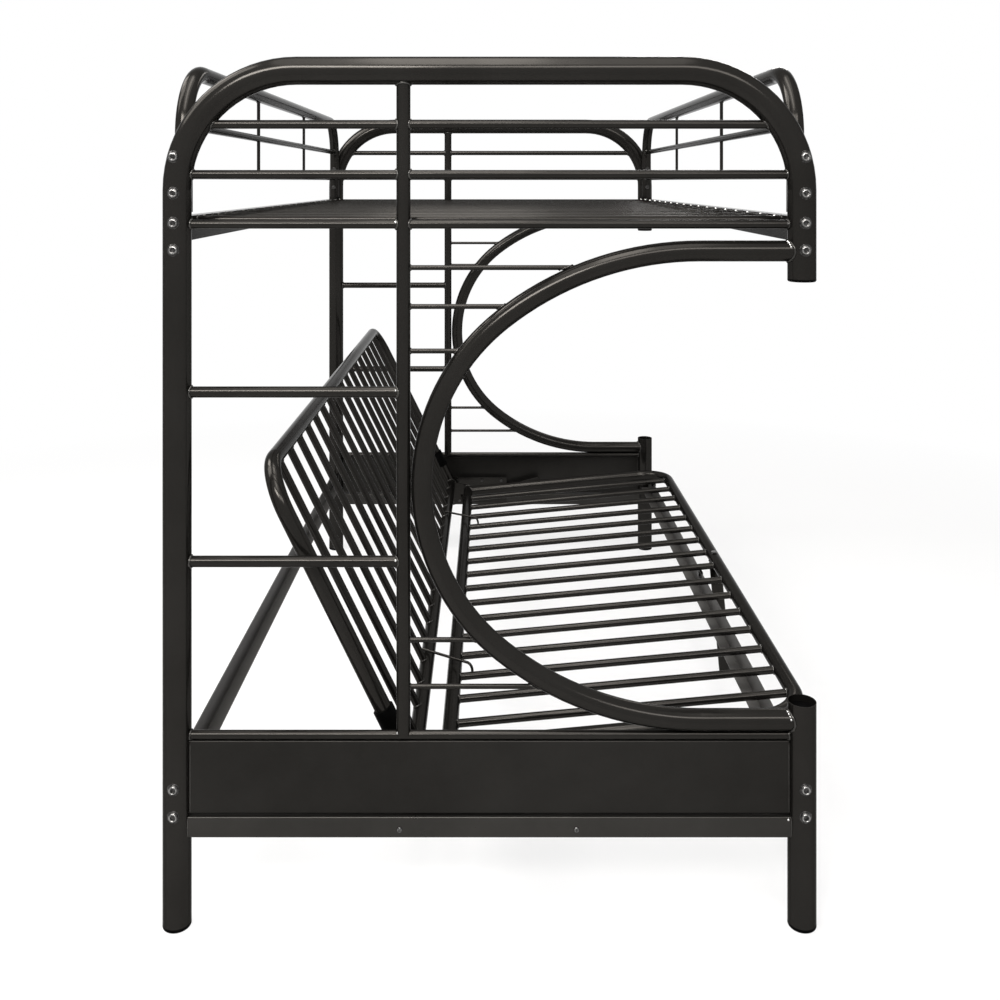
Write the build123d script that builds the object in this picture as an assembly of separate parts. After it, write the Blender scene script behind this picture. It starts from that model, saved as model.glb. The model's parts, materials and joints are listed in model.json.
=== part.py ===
from build123d import *
import os
from math import atan2, cos, degrees, hypot, radians, sin, sqrt

# A steel bunk bed over a futon that slides out and folds flat. The long side lies along Y with the
# open front at +X. Everything is drawn about the middle of the bed and moved at the end, so that the
# origin is on the floor at the middle of the whole outline. The far end is the near end mirrored.

# Main frame sizes, with the heights stacked from the floor up
length_between_ends = 1965
post_spacing = 1125
post_diameter = 50.8
post_wall = 1.2
lower_post_height = 403
lower_post_margin = 34
upper_post_margin = 50
arch_rise = 288
arch_bend_radius = 215
foot_thickness = 7
foot_fillet = 3
cap_thickness = 5
cap_fillet = 3.5
plug_depth = 18
plug_recess = 12
plug_clearance = 0.1

# Bars across each end frame
crossbar_diameter = 16
crossbar_wall = 1.0
crossbar_shares = [-0.053, 0.289, 0.632]
ladder_post_offset = 155
ladder_post_diameter = 25.4
ladder_post_wall = 1.2
rung_diameter = 20
rung_wall = 1.2
rung_count = 2
rung_first_rise = 312
rung_pitch = 305
accent_bar_diameter = 9
accent_bar_shares = [-0.858, -0.659, 0.573, 0.763, 0.929]

# Large C-shaped tube of each end frame
c_tube_diameter = 38
c_tube_wall = 1.2
c_height = 844
c_straight_start = 379
c_reach = 501
c_side_radius = 380

# Sheet panel at the foot of each end frame
panel_bar_diameter = 16
panel_bar_wall = 1.0
panel_rail_bottom = 163.5
panel_rail_height = 37
panel_rail_depth = 25
panel_rail_wall = 1.2
sheet_thickness = 0.8
sheet_offset = 6
panel_screw_radius = 3
panel_screw_head_radius = 5
panel_screw_head_height = 2.5
panel_screw_height_share = 0.4
panel_screw_shares = [-0.3, 0.29]

# Upper deck
deck_rise = 62
deck_rail_height = 45
deck_rail_width = 25
deck_rail_wall = 1.2
slat_count = 18
slat_end_gap = 90
slat_diameter = 16
slat_wall = 1.0
slat_drop = 1

# Guard rails
guard_diameter = 32
guard_wall = 1.2
guard_rise = 271
guard_bend_radius = 125
guard_leg_gap = 7
guard_bar_diameter = 16
guard_bar_wall = 1.0
guard_bar_shares = [0.258, 0.606]
baluster_diameter = 8
baluster_offset = 312

# Lower side rails, angle section
angle_top = 278
angle_height = 50
angle_ledge = 27
angle_thickness = 2.5
angle_nut_gap = 1
end_plate_thickness = 8
end_plate_width = 36
end_plate_overlap = 4
deck_plate_drop = 28
angle_plate_drop = 40

# Bolts through the posts
bolt_radius = 4
bolt_clearance = 0.2
bolt_head_radius = 8
bolt_head_height = 4.5
nut_radius = 7.5
nut_thickness = 6
guard_bolt_shares = [0.133, 0.379]
deck_bolt_shares = [0.19, 0.85]
lower_bolt_shares = [0.22, 0.76]

# Clip over the top edge of the front lower rail at its middle, and the pads under the seat's ends
clip_length = 44
clip_thickness = 2
clip_drop = 18
clip_bolt_radius = 3
clip_bolt_head_height = 3
pad_length = 40
pad_thickness = 9
pad_lap = 8
pad_rise = 8

# Futon hinge axis at rest, and the slide of the futon
hinge_x = -141.8
hinge_drop = 24.8
seat_travel = 275
bed_rise = 34.6

# Seat frame, tilted up towards the front
futon_tube_diameter = 32
futon_tube_wall = 1.2
seat_tilt = 5.3
seat_depth = 693
seat_end_gap = 133.5
seat_corner_radius = 95
seat_bar_diameter = 16
seat_bar_wall = 1.0
seat_bar_count = 16
seat_bar_end_gap = 90
hinge_gap = 62.5
hinge_lift = 12
hinge_plate_thickness = 5
hinge_plate_margin = 7
running_clearance = 0.08
leg_floor_clearance = 1
leg_diameter = 32
leg_wall = 1.2
leg_tip_thickness = 6
leg_insert_depth = 30
leg_bolt_radius = 4
leg_bolt_head_radius = 8
leg_bolt_head_height = 3.5

# Bent wires that keep the mattress out of the hinge
wire_diameter = 6
wire_bend_radius = 13
wire_foot_inset = 41
wire_rise = 26
wire_reach = 113
wire_climb = 7
wire_swing = 82
wire_place_shares = [0.133, 0.8]

# Back frame, leaning back from the hinge
back_recline = 26.45
back_height = 615
back_end_gap = 52.5
back_corner_radius = 90
back_tube_overrun = 22
back_bar_diameter = 16
back_bar_wall = 1.0
back_bar_count = 17
back_bar_end_gap = 106
sleeve_start = 70
sleeve_length = 54
sleeve_wall = 3.5

# Channel on the inner side of each end panel, on its plate, with the glide that runs in it
track_drop = 75
track_thickness = 2
track_depth = 15
track_plate_ahead = 200
track_plate_behind = 8
track_plate_above = 9
track_plate_below = 81
track_stud_radius = 3
track_stud_margin = 10
track_nut_radius = 5.5
track_nut_thickness = 4
track_thread_length = 2
track_shoulder_radius = 6
track_stud_shares = [0.134, 0.571, 0.903]
glide_length = 44
glide_height = 16
glide_width = 15.6
glide_clearance = 0.4

# Bracket that carries the hinge pin above the glide
bracket_thickness = 4
bracket_eye_radius = 18
rivet_radius = 3
rivet_head_radius = 5
rivet_head_height = 1.2
rivet_depth = 10
rivet_pitch = 24
hinge_pin_radius = 6
hinge_pin_reach = 22
hinge_pin_head_radius = 9
hinge_pin_head_height = 3
bush_length = 20

# Overrun of every cutting tool past what it cuts
overrun = 1

# Places that follow from the sizes above
end_y = length_between_ends / 2
post_x = post_spacing / 2
post_radius = post_diameter / 2
post_inner_y = end_y - post_radius
slat_pitch = 2 * (end_y - slat_end_gap) / (slat_count - 1)
seat_half_length = end_y - seat_end_gap
seat_bar_pitch = 2 * (seat_half_length - seat_bar_end_gap) / (seat_bar_count - 1)
back_half_length = end_y - back_end_gap
back_bar_pitch = 2 * (back_half_length - back_bar_end_gap) / (back_bar_count - 1)
c_bottom_height = lower_post_height - lower_post_margin
c_top_height = c_bottom_height + c_height
c_half_height = c_height / 2
c_middle = c_bottom_height + c_half_height
c_tip_x = c_straight_start - c_reach
upper_post_end_height = c_top_height - upper_post_margin
deck_rail_top = c_top_height + deck_rise
deck_rail_bottom = deck_rail_top - deck_rail_height
overall_height = deck_rail_top + arch_rise
arch_top = overall_height - post_radius
guard_top_height = deck_rail_top + guard_rise
guard_leg_end_height = deck_rail_top + guard_leg_gap
angle_bottom = angle_top - angle_height
panel_rail_top = panel_rail_bottom + panel_rail_height
panel_bar_height = c_bottom_height - c_tube_diameter / 2 - panel_bar_diameter / 2
panel_inner_y = end_y + sheet_offset - sheet_thickness / 2
hinge_height = angle_top - hinge_drop
bed_front_height = angle_top + bed_rise
futon_radius = futon_tube_diameter / 2
tilt = radians(seat_tilt)


def between(low, high, shares):
    """Heights at the given shares of the way from low to high."""
    return [low + (high - low) * height_share for height_share in shares]


deck_plate = (deck_rail_bottom - deck_plate_drop, deck_rail_top)
lower_plate = (angle_bottom - angle_plate_drop, angle_top)
crossbar_heights = between(deck_rail_top, arch_top, crossbar_shares)
rung_heights = [panel_bar_height + rung_first_rise + index * rung_pitch for index in range(rung_count)]
accent_bar_heights = between(c_middle, c_top_height, accent_bar_shares)
guard_bar_heights = between(guard_leg_end_height, guard_top_height, guard_bar_shares)
guard_bolt_heights = between(guard_leg_end_height, guard_top_height, guard_bolt_shares)
deck_bolt_heights = between(*deck_plate, deck_bolt_shares)
lower_bolt_heights = between(*lower_plate, lower_bolt_shares)


def share(part):
    """Only the largest solid of a cut, without the offcuts inside the tube that it meets."""
    return max(part.solids(), key=lambda solid: solid.volume)


def rod(start, end, radius):
    """Round bar from one point to another."""
    direction = Vector(*end) - Vector(*start)
    return extrude(Plane(origin=start, z_dir=direction) * Circle(radius), amount=direction.length)


def pipe(start, end, radius, wall):
    """Round tube from one point to another."""
    direction = Vector(*end) - Vector(*start)
    section = Plane(origin=start, z_dir=direction) * (Circle(radius) - Circle(radius - wall))
    return extrude(section, amount=direction.length)


def bent_rod(path, radius):
    """Round bar along a path of lines and arcs."""
    return sweep(Plane(origin=path @ 0, z_dir=path % 0) * Circle(radius), path=path)


def bent_pipe(path, radius, wall):
    """Round tube along a path of lines and arcs."""
    return bent_rod(path, radius) - bent_rod(path, radius - wall)


def block(x_range, y_range, z_range):
    """Box between two corners."""
    size = [high - low for low, high in (x_range, y_range, z_range)]
    middle = [(high + low) / 2 for low, high in (x_range, y_range, z_range)]
    return Pos(*middle) * Box(*size)


def group(parts):
    """Separate solids that share one node."""
    return Compound(children=[solid for part in parts for solid in part.solids()])


def mirrored(part):
    """The same piece at the far end of the bed."""
    return mirror(part, about=Plane.XZ)


def both_ends(parts):
    """Pieces of the near end and their copies at the far end."""
    return group(list(parts) + [mirrored(part) for part in parts])


# End frame, drawn in its own centre plane and placed at the near end
arch_path = FilletPolyline(
    (-post_x, 0, foot_thickness), (-post_x, 0, arch_top), (post_x, 0, arch_top),
    (post_x, 0, upper_post_end_height), radius=arch_bend_radius)
arch_core = bent_rod(arch_path, post_radius)
post_core = rod((post_x, 0, foot_thickness), (post_x, 0, lower_post_height), post_radius)
ladder_core = rod(
    (-ladder_post_offset, 0, panel_bar_height), (-ladder_post_offset, 0, arch_top),
    ladder_post_diameter / 2)
panel_bar_core = rod(
    (-post_x, 0, panel_bar_height), (post_x, 0, panel_bar_height), panel_bar_diameter / 2)


def c_path():
    """Centre line of the C tube: two straights joined by a wide, a tight and a wide arc."""
    rise = c_half_height
    wide = (rise ** 2 - c_side_radius ** 2 + (c_reach - c_side_radius) ** 2) / (2 * (rise - c_side_radius))
    wide_z = c_top_height - wide
    side_x = c_tip_x + c_side_radius
    turn = atan2(c_straight_start - side_x, c_middle - wide_z)
    join_x = c_straight_start - wide * sin(turn)
    join_rise = wide * cos(turn) - (wide - rise)
    middle_x = c_straight_start - wide * sin(turn / 2)
    middle_rise = wide * cos(turn / 2) - (wide - rise)
    points = [(post_x, c_top_height), (c_straight_start, c_top_height)]
    upper_middle, upper_join = (middle_x, c_middle + middle_rise), (join_x, c_middle + join_rise)
    lower_middle, lower_join = (middle_x, c_middle - middle_rise), (join_x, c_middle - join_rise)
    points += [upper_middle, upper_join, (c_tip_x, c_middle), lower_join, lower_middle]
    points += [(c_straight_start, c_bottom_height), (post_x, c_bottom_height)]
    points = [(x, 0, z) for x, z in points]
    edges = [
        Line(points[0], points[1]), ThreePointArc(points[1], points[2], points[3]),
        ThreePointArc(points[3], points[4], points[5]), ThreePointArc(points[5], points[6], points[7]),
        Line(points[7], points[8])]
    return Wire([edge for curve in edges for edge in curve.edges()])


c_core = bent_rod(c_path(), c_tube_diameter / 2)


def c_tube():
    tube = c_core - bent_rod(c_path(), c_tube_diameter / 2 - c_tube_wall)
    return share(tube - arch_core - post_core)


def post_holes(heights, x):
    """Holes for bolts that run through a post along the bed."""
    hole_radius = bolt_radius + bolt_clearance
    reach = post_radius + overrun
    return [rod((x, -reach, height), (x, reach, height), hole_radius) for height in heights]


def arch_tube():
    tube = arch_core - bent_rod(arch_path, post_radius - post_wall)
    upper_heights = guard_bolt_heights + deck_bolt_heights
    for hole in post_holes(upper_heights + lower_bolt_heights, -post_x) + post_holes(upper_heights, post_x):
        tube -= hole
    return tube


def lower_front_post():
    tube = pipe((post_x, 0, foot_thickness), (post_x, 0, lower_post_height), post_radius, post_wall)
    for hole in post_holes(lower_bolt_heights, post_x):
        tube -= hole
    return tube


def crossbars():
    """Bars between the posts, each cut where the ladder post passes."""
    bars = []
    for height in crossbar_heights:
        radius = crossbar_diameter / 2
        bar = pipe((-post_x, 0, height), (post_x, 0, height), radius, crossbar_wall)
        bar -= arch_core
        left = bar - block((-ladder_post_offset, post_x), (-post_radius, post_radius), (0, overall_height))
        right = bar - block((-post_x, -ladder_post_offset), (-post_radius, post_radius), (0, overall_height))
        bars += [share(left - ladder_core), share(right - ladder_core)]
    return group(bars)


def ladder_post():
    tube = pipe(
        (-ladder_post_offset, 0, panel_bar_height), (-ladder_post_offset, 0, arch_top),
        ladder_post_diameter / 2, ladder_post_wall)
    return share(tube - arch_core - panel_bar_core)


def ladder_rungs():
    rungs = []
    for height in rung_heights:
        rung = pipe((-post_x, 0, height), (-ladder_post_offset, 0, height), rung_diameter / 2, rung_wall)
        rungs.append(share(rung - arch_core - ladder_core))
    return group(rungs)


def accent_bars():
    """Thin bars from the ladder post to the curve of the C tube."""
    bars = []
    for height in accent_bar_heights:
        bar = rod((-ladder_post_offset, 0, height), (c_straight_start, 0, height), accent_bar_diameter / 2)
        pieces = (bar - ladder_core - c_core).solids()
        bars.append(min(pieces, key=lambda solid: abs(solid.bounding_box().min.X + ladder_post_offset)))
    return group(bars)


def panel_top_bar():
    bar = pipe(
        (-post_x, 0, panel_bar_height), (post_x, 0, panel_bar_height),
        panel_bar_diameter / 2, panel_bar_wall)
    return share(bar - arch_core - post_core)


def panel_bottom_rail():
    depth, wall = panel_rail_depth / 2, panel_rail_wall
    rail = block((-post_x, post_x), (-depth, depth), (panel_rail_bottom, panel_rail_top))
    rail -= block(
        (-post_x, post_x), (wall - depth, depth - wall), (panel_rail_bottom + wall, panel_rail_top - wall))
    rail = share(rail - arch_core - post_core)
    for x in panel_screw_places():
        rail -= rod((x, -depth - overrun, panel_screw_z()), (x, 0, panel_screw_z()), panel_screw_radius)
    return rail


def panel_screw_places():
    return [share_of_span * (post_x - post_radius) for share_of_span in panel_screw_shares]


def panel_screw_z():
    return panel_rail_bottom + panel_screw_height_share * panel_rail_height


def panel_screws():
    """Round-headed screws in the outer face of the bottom rail."""
    face = -panel_rail_depth / 2
    screws = []
    for x in panel_screw_places():
        start = (x, face, panel_screw_z())
        head = rod(start, (x, face - panel_screw_head_height, panel_screw_z()), panel_screw_head_radius)
        shank = rod(start, (x, face + panel_rail_wall, panel_screw_z()), panel_screw_radius)
        screws.append(head + shank)
    return screws


def panel_sheet():
    half = sheet_thickness / 2
    span_y = (-sheet_offset - half, -sheet_offset + half)
    sheet = block((-post_x, post_x), span_y, (panel_rail_top, panel_bar_height))
    return share(sheet - arch_core - post_core - panel_bar_core)


def foot(x):
    """Plastic foot pressed into the bottom of a post."""
    plug_radius = post_radius - post_wall - plug_clearance
    plug = rod((x, 0, foot_thickness), (x, 0, foot_thickness + plug_depth), plug_radius)
    cap = rod((x, 0, 0), (x, 0, foot_thickness), post_radius)
    return fillet(cap.edges().sort_by(Axis.Z)[0], foot_fillet) + plug


def upper_post_plug():
    """Rounded plastic cap on the lower end of the arch at the front."""
    plug_radius = post_radius - post_wall - plug_clearance
    seam = (post_x, 0, upper_post_end_height)
    cap = rod(seam, (post_x, 0, upper_post_end_height - cap_thickness), post_radius)
    cap = fillet(cap.edges().sort_by(Axis.Z)[0], cap_fillet)
    return cap + rod(seam, (post_x, 0, upper_post_end_height + plug_depth), plug_radius)


def lower_post_plug():
    """Plastic plug sunk into the open top of the lower front post."""
    plug_radius = post_radius - post_wall - plug_clearance
    top = lower_post_height - plug_recess
    return rod((post_x, 0, top), (post_x, 0, top - plug_depth), plug_radius)


# Bolts, nuts and end plates that join the side rails and guards to the posts
def post_bolt(x, height, inner_y):
    """Button-headed bolt from the outside of a near post to the nut at inner_y."""
    outside = -end_y - post_radius
    head_start, head_end = outside - bolt_head_height, outside + bolt_head_height
    head = rod((x, head_start, height), (x, head_end, height), bolt_head_radius)
    head = share(head - Pos(0, -end_y, 0) * arch_core - Pos(0, -end_y, 0) * post_core)
    shank_start = outside - bolt_head_height / 2
    shank = rod((x, shank_start, height), (x, inner_y + nut_thickness, height), bolt_radius)
    return head + shank


def post_nut(x, height, inner_y):
    """Hexagon nut with its bolt hole."""
    face = Plane(origin=(x, inner_y, height), z_dir=(0, 1, 0))
    ring = face * (RegularPolygon(nut_radius, 6) - Circle(bolt_radius))
    return extrude(ring, amount=nut_thickness)


def end_plate(side, bottom, top, heights):
    """Plate at the end of a side rail, hollowed to sit against the round post."""
    outer_y = -post_inner_y - end_plate_overlap
    x = side * post_x
    plate = block(
        (x - end_plate_width / 2, x + end_plate_width / 2), (outer_y, outer_y + end_plate_thickness),
        (bottom, top))
    post = rod((x, -end_y, bottom - overrun), (x, -end_y, top + overrun), post_radius)
    plate -= post
    for height in heights:
        hole_end = outer_y + end_plate_thickness + overrun
        plate -= rod((x, -end_y, height), (x, hole_end, height), bolt_radius + bolt_clearance)
    return plate


plate_inner_y = -post_inner_y - end_plate_overlap + end_plate_thickness
guard_leg_y = -post_inner_y + guard_diameter / 2
guard_inner_y = guard_leg_y + guard_diameter / 2


# Side rails
def deck_rail(side):
    """Box section rail between the end plates."""
    x, half, wall = side * post_x, deck_rail_width / 2, deck_rail_wall
    bottom, top = deck_rail_bottom, deck_rail_top
    span = (plate_inner_y, -plate_inner_y)
    rail = block((x - half, x + half), span, (bottom, top))
    return rail - block((x - half + wall, x + half - wall), span, (bottom + wall, top - wall))


angle_outer_x = post_x + nut_radius + angle_nut_gap + angle_thickness
angle_inner_x = angle_outer_x - angle_ledge
clip_inner_x = angle_outer_x - angle_thickness - clip_thickness
clip_outer_x = angle_outer_x + clip_thickness
clip_bolt_z = angle_top - clip_drop / 2


def angle_rail(side):
    """Angle section: a tall outer flange with a ledge along the inside of its foot."""
    span = (plate_inner_y, -plate_inner_y)
    flange_x = sorted((side * angle_outer_x, side * (angle_outer_x - angle_thickness)))
    ledge_x = sorted((side * angle_outer_x, side * angle_inner_x))
    flange = block(flange_x, span, (angle_bottom, angle_top))
    return flange + block(ledge_x, span, (angle_bottom, angle_bottom + angle_thickness))


def deck_slats():
    """Round slats welded between the deck rails."""
    inner_x = post_x - deck_rail_width / 2
    height = deck_rail_top - slat_drop - slat_diameter / 2
    places = [(index - (slat_count - 1) / 2) * slat_pitch for index in range(slat_count)]
    return group([
        pipe((-inner_x, y, height), (inner_x, y, height), slat_diameter / 2, slat_wall) for y in places])


# Guard rails
def guard_path(side):
    x = side * post_x
    return FilletPolyline(
        (x, guard_leg_y, guard_leg_end_height), (x, guard_leg_y, guard_top_height),
        (x, -guard_leg_y, guard_top_height), (x, -guard_leg_y, guard_leg_end_height),
        radius=guard_bend_radius)


def guard_core(side):
    return bent_rod(guard_path(side), guard_diameter / 2)


def guard_tube(side):
    tube = guard_core(side) - bent_rod(guard_path(side), guard_diameter / 2 - guard_wall)
    x = side * post_x
    for height in guard_bolt_heights:
        tube -= rod((x, -end_y, height), (x, end_y, height), bolt_radius + bolt_clearance)
    return tube


def guard_bars(side):
    """Two long bars, the upper one drilled for the balusters and the lower one carrying them."""
    x = side * post_x
    bars = []
    for height in guard_bar_heights:
        ends = (x, guard_leg_y, height), (x, -guard_leg_y, height)
        bar = share(pipe(*ends, guard_bar_diameter / 2, guard_bar_wall) - guard_core(side))
        for y in (-baluster_offset, baluster_offset):
            through = rod((x, y, guard_bar_heights[0]), (x, y, guard_top_height), baluster_diameter / 2)
            bar -= through
        bars.append(bar)
    return group(bars)


def balusters(side):
    x = side * post_x
    bars = []
    for y in (-baluster_offset, baluster_offset):
        bar = rod((x, y, guard_bar_heights[0]), (x, y, guard_top_height), baluster_diameter / 2)
        bars.append(share(bar - guard_core(side)))
    return group(bars)


# Futon mechanism: the hinge axis rises as it slides, so that the tilted seat ends level
hinge = Vector(hinge_x, 0, hinge_height)
seat_along = Vector(cos(tilt), 0, sin(tilt))
seat_up = Vector(-sin(tilt), 0, cos(tilt))
seat_rear = hinge + seat_along * hinge_gap - seat_up * hinge_lift
seat_front = seat_rear + seat_along * seat_depth
front_reach = hinge_gap + seat_depth
bed_hinge_x = seat_front.X + seat_travel - front_reach
bed_hinge_height = bed_front_height + hinge_lift
track_run = bed_hinge_x - hinge_x
track_rise = bed_hinge_height - hinge_height
track_travel = hypot(track_run, track_rise)
track_slope = degrees(atan2(track_rise, track_run))

seat_place = Location(tuple(seat_rear), (0, -seat_tilt, 0))
back_place = Location(tuple(hinge), (0, -back_recline, 0))
track_place = Location(tuple(hinge), (0, -track_slope, 0))

# Seat, drawn flat: X from the rear tube to the front tube, Z up from the plane of the tubes
seat_front_path = FilletPolyline(
    (0, -seat_half_length, 0), (seat_depth, -seat_half_length, 0), (seat_depth, seat_half_length, 0),
    (0, seat_half_length, 0), radius=seat_corner_radius)
seat_front_core = bent_rod(seat_front_path, futon_radius)
seat_rear_end = seat_half_length + futon_radius
seat_rear_core = rod((0, -seat_rear_end, 0), (0, seat_rear_end, 0), futon_radius)


def seat_front_tube():
    tube = seat_front_core - bent_rod(seat_front_path, futon_radius - futon_tube_wall)
    tube = share(tube - seat_rear_core)
    hole_reach = futon_radius + overrun
    return tube - rod((seat_depth, 0, -hole_reach), (seat_depth, 0, hole_reach), leg_bolt_radius)


def seat_rear_tube():
    return pipe((0, -seat_rear_end, 0), (0, seat_rear_end, 0), futon_radius, futon_tube_wall)


def seat_bar_places():
    return [(index - (seat_bar_count - 1) / 2) * seat_bar_pitch for index in range(seat_bar_count)]


def seat_bars():
    bars = []
    for y in seat_bar_places():
        bar = pipe((0, y, 0), (seat_depth, y, 0), seat_bar_diameter / 2, seat_bar_wall)
        bars.append(share(bar - seat_rear_core - seat_front_core))
    return group(bars)


def seat_hinge_plate():
    """Plate on the end of the seat's rear tube, with an eye round the back's bottom tube."""
    outer = futon_radius + hinge_plate_margin
    face = Plane(origin=(0, -seat_rear_end, 0), z_dir=(0, -1, 0), x_dir=(1, 0, 0))
    eye = Pos(-hinge_gap, hinge_lift, 0)
    outline = make_hull((Circle(futon_radius).edges() + (eye * Circle(outer)).edges()))
    outline -= eye * Circle(futon_radius + running_clearance)
    return extrude(face * outline, amount=hinge_plate_thickness)


def seat_leg():
    """Leg under the middle of the front tube, square to the seat."""
    length = leg_length()
    top, bottom = (seat_depth, 0, 0), (seat_depth, 0, leg_tip_thickness - length)
    inner = leg_diameter / 2 - leg_wall
    leg = rod(top, bottom, leg_diameter / 2)
    insert_bottom = -futon_radius - leg_insert_depth
    leg -= rod((seat_depth, 0, insert_bottom), bottom, inner)
    leg -= rod(top, (seat_depth, 0, insert_bottom), leg_bolt_radius)
    return share(leg - seat_front_core)


def leg_length():
    """From the centre of the front tube to the tip of the leg, so that the tilted tip clears the floor."""
    return (seat_front.Z - leg_floor_clearance - leg_diameter / 2 * sin(tilt)) / cos(tilt)


def seat_leg_tip():
    """Rubber tip with a plug inside the leg."""
    length = leg_length()
    plug_radius = leg_diameter / 2 - leg_wall - plug_clearance
    bottom, seam = (seat_depth, 0, -length), (seat_depth, 0, leg_tip_thickness - length)
    plug_top = (seat_depth, 0, leg_tip_thickness + plug_depth - length)
    return rod(bottom, seam, leg_diameter / 2) + rod(seam, plug_top, plug_radius)


def seat_leg_bolt():
    """Bolt through the front tube into the leg, with its head on the tube."""
    head_start, head_end = futon_radius - leg_bolt_head_height, futon_radius + leg_bolt_head_height
    head = rod((seat_depth, 0, head_start), (seat_depth, 0, head_end), leg_bolt_head_radius)
    head = share(head - seat_front_core)
    insert_bottom = -futon_radius - leg_insert_depth
    return head + rod((seat_depth, 0, futon_radius), (seat_depth, 0, insert_bottom), leg_bolt_radius)


def mattress_wire(bar_y):
    """Bent wire that stands on a seat bar and runs back over both tubes of the hinge."""
    foot = (wire_foot_inset, bar_y, 0)
    crown = (wire_foot_inset, bar_y, wire_rise)
    tail = (wire_foot_inset - wire_reach, bar_y + wire_swing, wire_rise + wire_climb)
    wire = bent_rod(FilletPolyline(foot, crown, tail, radius=wire_bend_radius), wire_diameter / 2)
    return share(wire - rod((0, bar_y, 0), (seat_depth, bar_y, 0), seat_bar_diameter / 2))


# Back, drawn upright: Y along the tubes, Z up from the hinge axis
back_path = FilletPolyline(
    (0, -back_half_length, -back_tube_overrun), (0, -back_half_length, back_height),
    (0, back_half_length, back_height), (0, back_half_length, -back_tube_overrun),
    radius=back_corner_radius)
back_core = bent_rod(back_path, futon_radius)
back_bottom_core = rod((0, -back_half_length, 0), (0, back_half_length, 0), futon_radius)


def back_top_tube():
    tube = back_core - bent_rod(back_path, futon_radius - futon_tube_wall)
    pin_hole = rod((0, -end_y, 0), (0, end_y, 0), hinge_pin_radius + running_clearance)
    return tube - pin_hole


def back_bottom_tube():
    tube = pipe((0, -back_half_length, 0), (0, back_half_length, 0), futon_radius, futon_tube_wall)
    return share(tube - back_core)


def back_bars():
    bars = []
    for index in range(back_bar_count):
        y = (index - (back_bar_count - 1) / 2) * back_bar_pitch
        bar = pipe((0, y, 0), (0, y, back_height), back_bar_diameter / 2, back_bar_wall)
        bars.append(share(bar - back_bottom_core - back_core))
    return group(bars)


def back_sleeve():
    """Plastic sleeve round the lower part of the back's end tube."""
    start = (0, -back_half_length, sleeve_start)
    end = (0, -back_half_length, sleeve_start + sleeve_length)
    return pipe(start, end, futon_radius + sleeve_wall, sleeve_wall)


def back_end_plug():
    """Plastic plug in the open lower end of the back's end tube."""
    plug_radius = futon_radius - futon_tube_wall - plug_clearance
    seam = (0, -back_half_length, -back_tube_overrun)
    cap = rod(seam, (0, -back_half_length, -back_tube_overrun - foot_thickness / 2), futon_radius)
    room = back_tube_overrun - hinge_pin_radius - running_clearance
    return cap + rod(seam, (0, -back_half_length, room / 2 - back_tube_overrun), plug_radius)


def back_bush():
    """Bush inside the end of the bottom tube, in which the hinge pin turns."""
    start = -back_half_length + futon_radius
    outer = futon_radius - futon_tube_wall
    bush = rod((0, start, 0), (0, start + bush_length, 0), outer)
    return bush - rod(
        (0, start - overrun, 0), (0, start + bush_length + overrun, 0), hinge_pin_radius + running_clearance)


# Channel, drawn with X along the travel and Z square to it; the hinge axis rests at the origin
track_back_y = -end_y + panel_rail_depth / 2
track_face_y = track_back_y + track_thickness
glide_outer_y = track_face_y + glide_clearance
bracket_outer_y = glide_outer_y + glide_width
bracket_inner_y = bracket_outer_y + bracket_thickness
track_half_gap = glide_height / 2 + glide_clearance
track_low_x = -glide_length / 2 - glide_clearance
track_high_x = track_travel + glide_length / 2 + glide_clearance
track_plate_x = (hinge_x - track_plate_behind, hinge_x + track_plate_ahead)
track_plate_z = (hinge_height - track_plate_below, hinge_height + track_plate_above)


def track():
    """Channel with two flanges and two end stops, on a plate that stands against the panel's rail."""
    low, high = track_low_x - track_thickness, track_high_x + track_thickness
    gap, outer = track_half_gap, track_half_gap + track_thickness
    channel_y = (track_back_y, track_face_y + track_depth)
    room_y = (track_face_y, track_face_y + track_depth + overrun)
    room = block((track_low_x, track_high_x), room_y, (-track_drop - gap, -track_drop + gap))
    channel = block((low, high), channel_y, (-track_drop - outer, -track_drop + outer)) - room
    body = track_place * channel + block(track_plate_x, (track_back_y, track_face_y), track_plate_z)
    for x, z in track_stud_places():
        body -= rod((x, track_back_y - overrun, z), (x, track_face_y + overrun, z), track_stud_radius)
    return body


def track_stud_places():
    """A row of studs along the top of the plate, within the height of the sheet."""
    z = track_plate_z[1] - track_stud_margin
    return [(x, z) for x in between(*track_plate_x, track_stud_shares)]


def track_studs():
    """Shouldered weld studs on the sheet, each with its nut on the plate."""
    studs = []
    for x, z in track_stud_places():
        stud = rod((x, -panel_inner_y, z), (x, track_back_y, z), track_shoulder_radius)
        thread_end = track_face_y + track_nut_thickness + track_thread_length
        stud += rod((x, track_back_y, z), (x, thread_end, z), track_stud_radius)
        face = Plane(origin=(x, track_face_y, z), z_dir=(0, 1, 0))
        studs.append(stud + extrude(face * RegularPolygon(track_nut_radius, 6), amount=track_nut_thickness))
    return studs


# Carriage at each end: a glide in the channel, a bracket on it and the hinge pin in the bracket
def rivet_places():
    return [(-rivet_pitch / 2, -track_drop), (rivet_pitch / 2, -track_drop)]


def glide_block():
    """Plastic glide in the channel, drilled for the rivets of the bracket."""
    half_length, half_height = glide_length / 2, glide_height / 2
    body = block(
        (-half_length, half_length), (glide_outer_y, bracket_outer_y),
        (-track_drop - half_height, -track_drop + half_height))
    for x, z in rivet_places():
        body -= rod((x, bracket_outer_y - rivet_depth, z), (x, bracket_outer_y, z), rivet_radius)
    return body


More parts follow.
